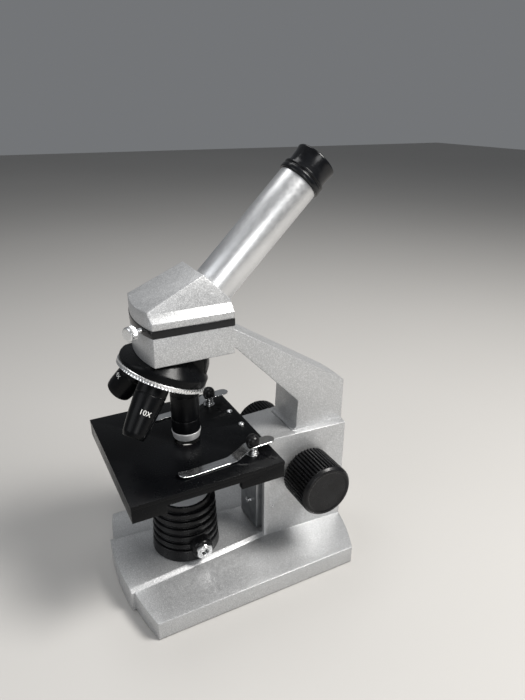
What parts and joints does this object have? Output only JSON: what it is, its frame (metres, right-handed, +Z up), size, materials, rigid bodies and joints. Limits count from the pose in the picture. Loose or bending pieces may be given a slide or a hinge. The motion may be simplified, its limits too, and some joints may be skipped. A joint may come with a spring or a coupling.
{
  "type": "student compound microscope",
  "caption": "Upright student microscope: inclined monocular tube, turning nosepiece with objectives, rack-driven stage with slide clips, and a lamp on a cast stand.",
  "frame": {"origin": "middle of the footprint, on the surface the feet rest on", "axes": "+Z up; +Y to the back, the way the inclined tube leans; +X to the object's right-hand side seen from the front, where the lamp inlet is"},
  "size_m": [0.1216, 0.1806, 0.3043],
  "materials": {
    "silver_hammer_paint": "hammered silver enamel",
    "satin_tube": "satin",
    "black_enamel": "gloss black enamel",
    "black_gloss": "gloss",
    "black_matte": "moulded, semi-matt",
    "black_steel": "matt black",
    "black_rubber": "matt",
    "chromed": "polished",
    "bright_steel": "bright",
    "grey_steel": "ground",
    "bronze": "machined",
    "board": "solder mask",
    "frosted_glass": "frosted",
    "clear_glass": "polished",
    "coated_glass": "coated"
  },
  "bodies": {
    "stand": {"base_casting": "silver_hammer_paint", "base_cover": "black_steel", "cover_screws": "chromed", "rubber_feet": "black_rubber", "arm_casting": "silver_hammer_paint", "arm_bolts": "bright_steel", "head_block": "silver_hammer_paint", "head_band": "black_gloss", "guide_plate": "grey_steel", "guide_screws": "chromed", "shaft_bushes": "bronze", "pillar_set_screws": "bright_steel", "lamp_housing": "black_matte", "lamp_screws": "chromed", "lamp_window": "frosted_glass", "led_board": "board", "power_jack": "chromed", "power_jack_nut": "chromed", "nosepiece_mount": "black_enamel", "nosepiece_pivot": "bright_steel", "detent_spring": "bright_steel"},
    "stage": {"stage_plate": "black_enamel", "stage_skirt": "black_enamel", "stage_screws": "chromed", "stage_carriage": "black_enamel", "rack": "bright_steel", "clip_posts": "chromed"},
    "clip_right": {"clip_leaf_right": "bright_steel", "clip_knob_right": "black_matte", "clip_spring_right": "bright_steel"},
    "clip_left": {"clip_leaf_left": "bright_steel", "clip_knob_left": "black_matte", "clip_spring_left": "bright_steel"},
    "focus_drive": {"focus_shaft": "bright_steel", "pinion": "bronze", "focus_knob_right": "black_matte", "focus_knob_left": "black_matte"},
    "nosepiece": {"nosepiece_disc": "black_enamel", "nosepiece_ring": "chromed", "objective_4x": "black_enamel", "objective_10x": "black_enamel", "objective_40x": "black_enamel", "objective_40x_collar": "chromed", "lens_4x": "coated_glass", "lens_10x": "coated_glass", "nose_spring": "bright_steel"},
    "sprung_nose": {"objective_40x_nose": "bright_steel", "lens_40x": "coated_glass"},
    "head": {"head_shell": "silver_hammer_paint", "head_spigot": "bright_steel", "prism_cradle": "black_matte", "prism": "clear_glass", "tube": "satin_tube"},
    "head_clamp": {"thumbscrew_pin": "chromed", "thumbscrew_knob": "chromed"},
    "eyepiece": {"eyepiece_barrel": "black_gloss", "eyecup": "black_gloss", "eye_lens": "clear_glass", "field_lens": "clear_glass"}
  },
  "joints": [
    {"name": "stage_focus", "type": "slide", "parent": "stand", "child": "stage", "axis": [0, 0, 1], "range_m": [-0.018, 0]},
    {"name": "focus_turn", "type": "hinge", "parent": "stand", "child": "focus_drive", "pos_m": [0, 0.05245, 0.0719], "axis": [1, 0, 0], "range_deg": [0, 171.89]},
    {"name": "clip_right_swing", "type": "hinge", "parent": "stage", "child": "clip_right", "pos_m": [0.0385, 0.00115, 0.11], "axis": [0, 0, 1], "range_deg": [-25, 60]},
    {"name": "clip_left_swing", "type": "hinge", "parent": "stage", "child": "clip_left", "pos_m": [-0.0385, 0.00115, 0.11], "axis": [0, 0, 1], "range_deg": [-60, 16]},
    {"name": "nosepiece_turn", "type": "hinge", "parent": "stand", "child": "nosepiece", "pos_m": [0, -0.03185, 0.1983], "axis": [0, 0.4035, 0.915], "continuous": true},
    {"name": "nose_press", "type": "slide", "parent": "nosepiece", "child": "sprung_nose", "axis": [0, 0, 1], "range_m": [0, 0.0025], "stiffness_N_per_m": 300, "springref_m": -0.003, "deforming": ["nose_spring"]},
    {"name": "head_turn", "type": "hinge", "parent": "stand", "child": "head", "pos_m": [0, -0.03185, 0.204], "axis": [0, 0, 1], "continuous": true},
    {"name": "head_clamp_turn", "type": "hinge", "parent": "stand", "child": "head_clamp", "pos_m": [0, -0.03185, 0.20185], "axis": [0.4067, -0.9135, 0], "range_deg": [0, 720]},
    {"name": "eyepiece_draw", "type": "slide", "parent": "head", "child": "eyepiece", "axis": [0, 0.7071, 0.7071], "range_m": [0, 0.02]}
  ],
  "couplings": [
    {"joint": "focus_turn", "follows": "stage_focus", "rad_per_m": -166.67}
  ]
}
